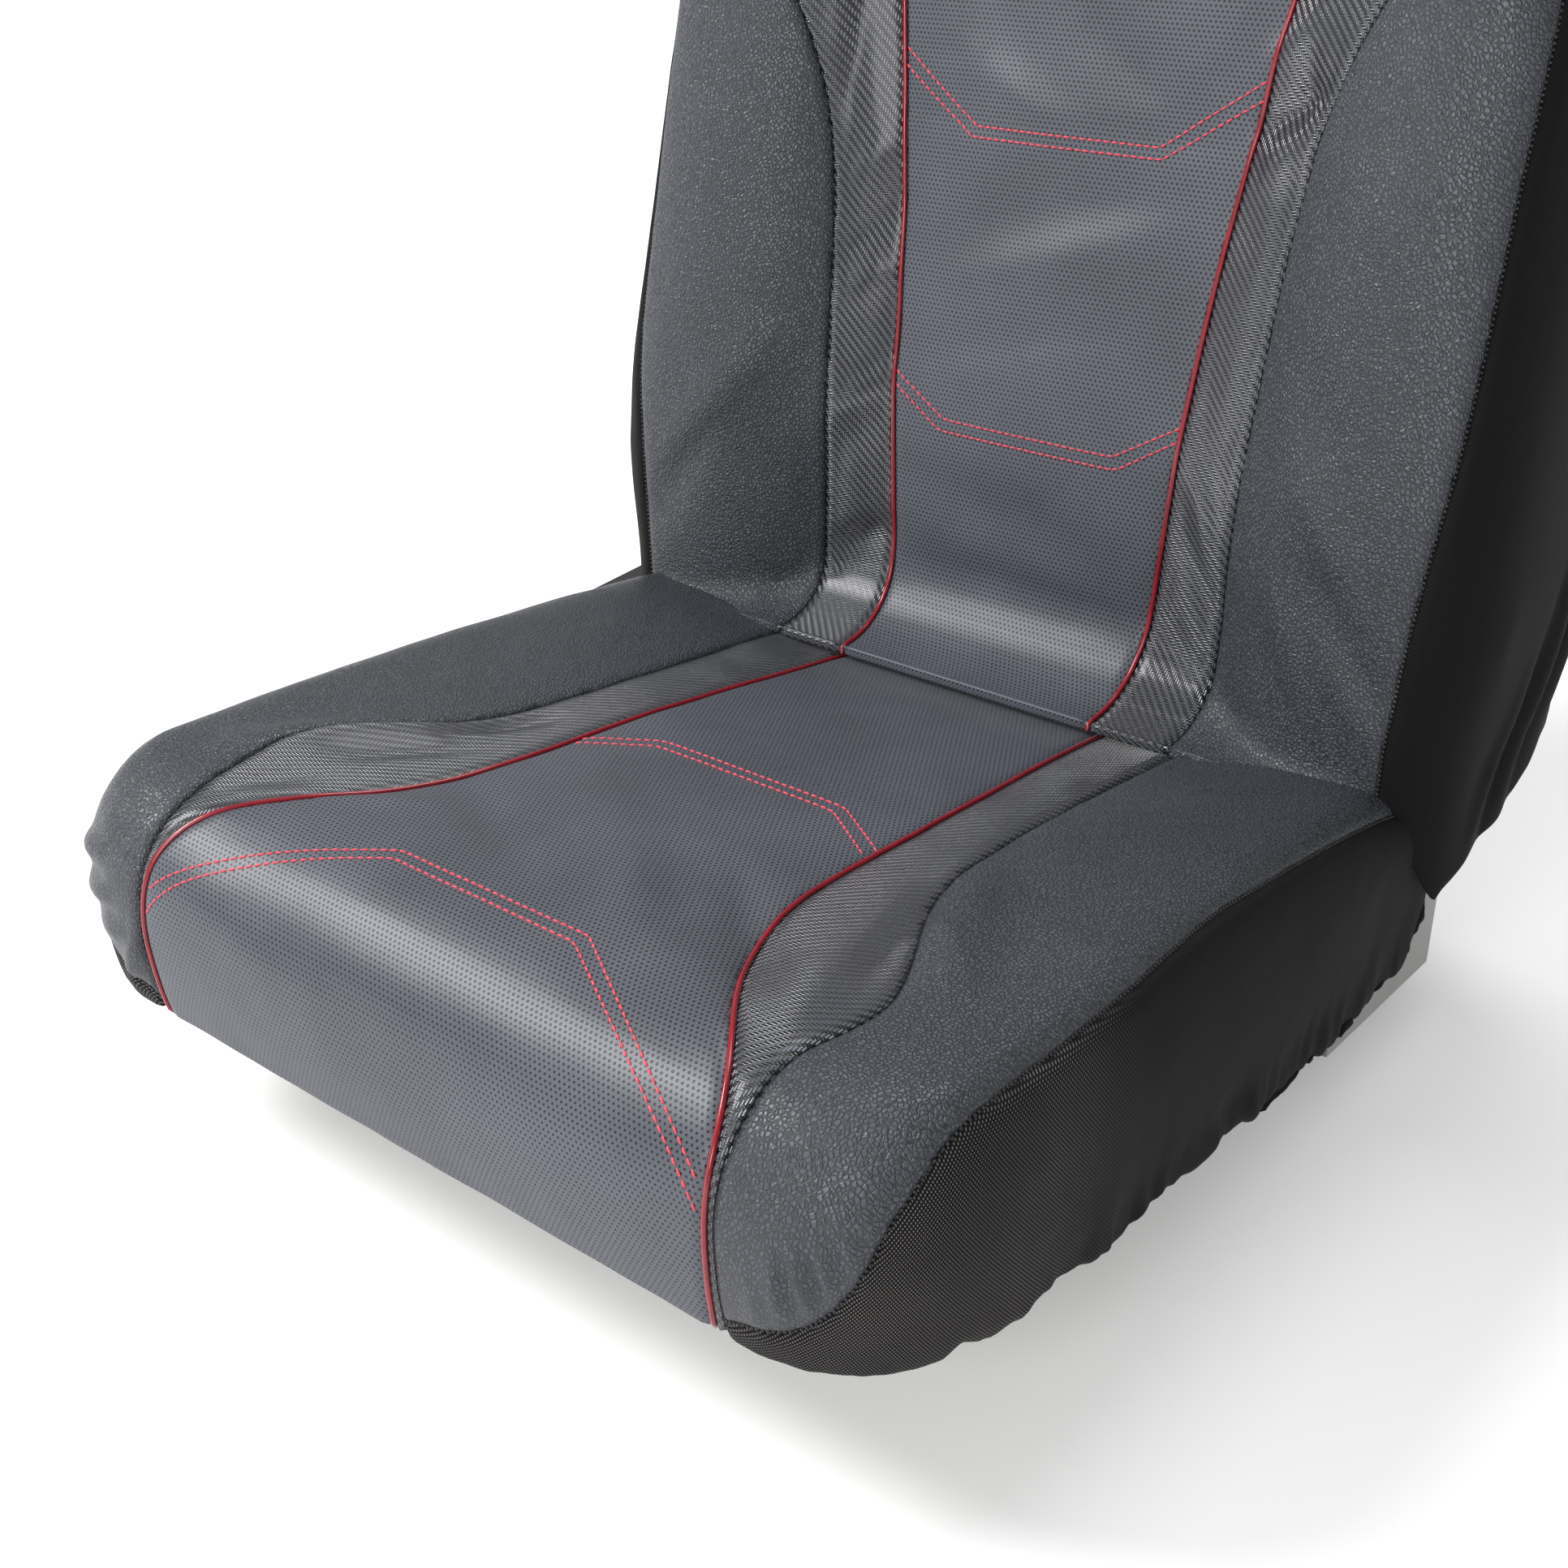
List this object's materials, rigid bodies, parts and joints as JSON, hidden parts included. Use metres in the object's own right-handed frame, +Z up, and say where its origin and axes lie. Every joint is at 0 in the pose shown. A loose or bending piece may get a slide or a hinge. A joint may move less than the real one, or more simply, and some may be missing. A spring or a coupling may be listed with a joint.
{
  "type": "car seat",
  "caption": "Front car seat in a fitted sports cover with red piping: slide rails, frame with recliners, foam cushion, reclining back and height-adjustable headrest.",
  "frame": {"origin": "middle of the four floor bolts, on the floor", "axes": "+Z up, -Y the way the sitter faces, +X to the right of someone who looks at the seat from the front"},
  "size_m": [0.6173, 0.7123, 0.9805],
  "materials": {
    "perforated_cover": "perforated, satin",
    "insert_vinyl": "woven twill look, glossy",
    "bolster_leather": "fine pebble grain, satin",
    "stretch_fabric": "fine rib knit, matt",
    "piping": "glossy cord",
    "foam": "open cell foam",
    "rail_steel": "black coat, satin",
    "frame_steel": "black coat, satin",
    "slide_steel": "zinc, satin",
    "roller_steel": "ground rollers in a pressed cage",
    "spring_steel": "drawn wire",
    "recliner_steel": "pressed, lightly oiled",
    "post_chrome": "polished",
    "black_plastic": "moulded, fine texture",
    "shield_plastic": "light grey moulding"
  },
  "bodies": {
    "floor_rails": {"floor_rail_right": "rail_steel", "floor_rail_left": "rail_steel", "rail_feet": "rail_steel"},
    "roller_cages": {"roller_cage_right": "roller_steel", "roller_cage_left": "roller_steel"},
    "adjuster": {"adjuster_bar": "frame_steel", "adjuster_arm_right": "frame_steel", "adjuster_arm_left": "frame_steel"},
    "recline_lever": {"recline_lever": "black_plastic", "cross_shaft": "recliner_steel"},
    "headrest": {"headrest_posts": "post_chrome", "headrest_foam": "foam", "headrest_cover": "bolster_leather", "headrest_centre_panel": "perforated_cover"},
    "headrest_button": {"release_button": "black_plastic"},
    "backrest": {"back_bolster_cover_left": "bolster_leather", "back_bolster_cover_right": "bolster_leather", "back_centre_panel": "perforated_cover", "back_foam": "foam", "back_insert_left": "insert_vinyl", "back_insert_right": "insert_vinyl", "back_member_left": "frame_steel", "back_member_right": "frame_steel", "back_piping_left": "piping", "back_piping_right": "piping", "back_rear_panel": "stretch_fabric", "back_side_panel_left": "stretch_fabric", "back_side_panel_right": "stretch_fabric", "back_tube_lower": "frame_steel", "back_tube_upper": "frame_steel", "back_wires": "spring_steel", "guide_sleeve_left": "black_plastic", "guide_sleeve_right": "black_plastic", "recliner_outer_left": "recliner_steel", "recliner_outer_right": "recliner_steel", "sleeve_brackets": "frame_steel"},
    "seat": {"adjuster_pins": "recliner_steel", "cushion_bolster_cover_left": "bolster_leather", "cushion_bolster_cover_right": "bolster_leather", "cushion_centre_panel": "perforated_cover", "cushion_foam": "foam", "cushion_insert_left": "insert_vinyl", "cushion_insert_right": "insert_vinyl", "cushion_piping_left": "piping", "cushion_piping_right": "piping", "cushion_skirt_left": "stretch_fabric", "cushion_skirt_right": "stretch_fabric", "recliner_inner_left": "recliner_steel", "recliner_inner_right": "recliner_steel", "recliner_shield_left": "shield_plastic", "recliner_shield_right": "shield_plastic", "seat_member_left": "frame_steel", "seat_member_right": "frame_steel", "seat_pan": "frame_steel", "seat_springs": "spring_steel", "seat_tube_front": "frame_steel", "seat_tube_rear": "frame_steel", "slide_rail_left": "slide_steel", "slide_rail_right": "slide_steel"}
  },
  "joints": [
    {"name": "seat_slide", "type": "slide", "parent": "floor_rails", "child": "seat", "axis": [0, 1, 0], "range_m": [-0.1, 0.12]},
    {"name": "cage_slide", "type": "slide", "parent": "floor_rails", "child": "roller_cages", "axis": [0, 1, 0], "range_m": [-0.05, 0.06]},
    {"name": "adjuster_lift", "type": "hinge", "parent": "seat", "child": "adjuster", "pos_m": [0, -0.06, 0.05], "axis": [1, 0, 0], "range_deg": [0, 8], "stiffness_Nm_per_rad": 8, "springref_deg": 8},
    {"name": "back_recline", "type": "hinge", "parent": "seat", "child": "backrest", "pos_m": [0, 0.155, 0.14], "axis": [-1, 0, 0], "range_deg": [0, 60]},
    {"name": "lever_turn", "type": "hinge", "parent": "seat", "child": "recline_lever", "pos_m": [0, 0.155, 0.14], "axis": [-1, 0, 0], "range_deg": [0, 35], "stiffness_Nm_per_rad": 3},
    {"name": "headrest_lift", "type": "slide", "parent": "backrest", "child": "headrest", "axis": [0, 0.1668, 0.986], "range_m": [0, 0.07]},
    {"name": "button_press", "type": "slide", "parent": "backrest", "child": "headrest_button", "axis": [-1, 0, 0], "range_m": [0, 0.003], "stiffness_N_per_m": 600}
  ],
  "couplings": [
    {"joint": "cage_slide", "follows": "seat_slide", "ratio": 0.5}
  ]
}
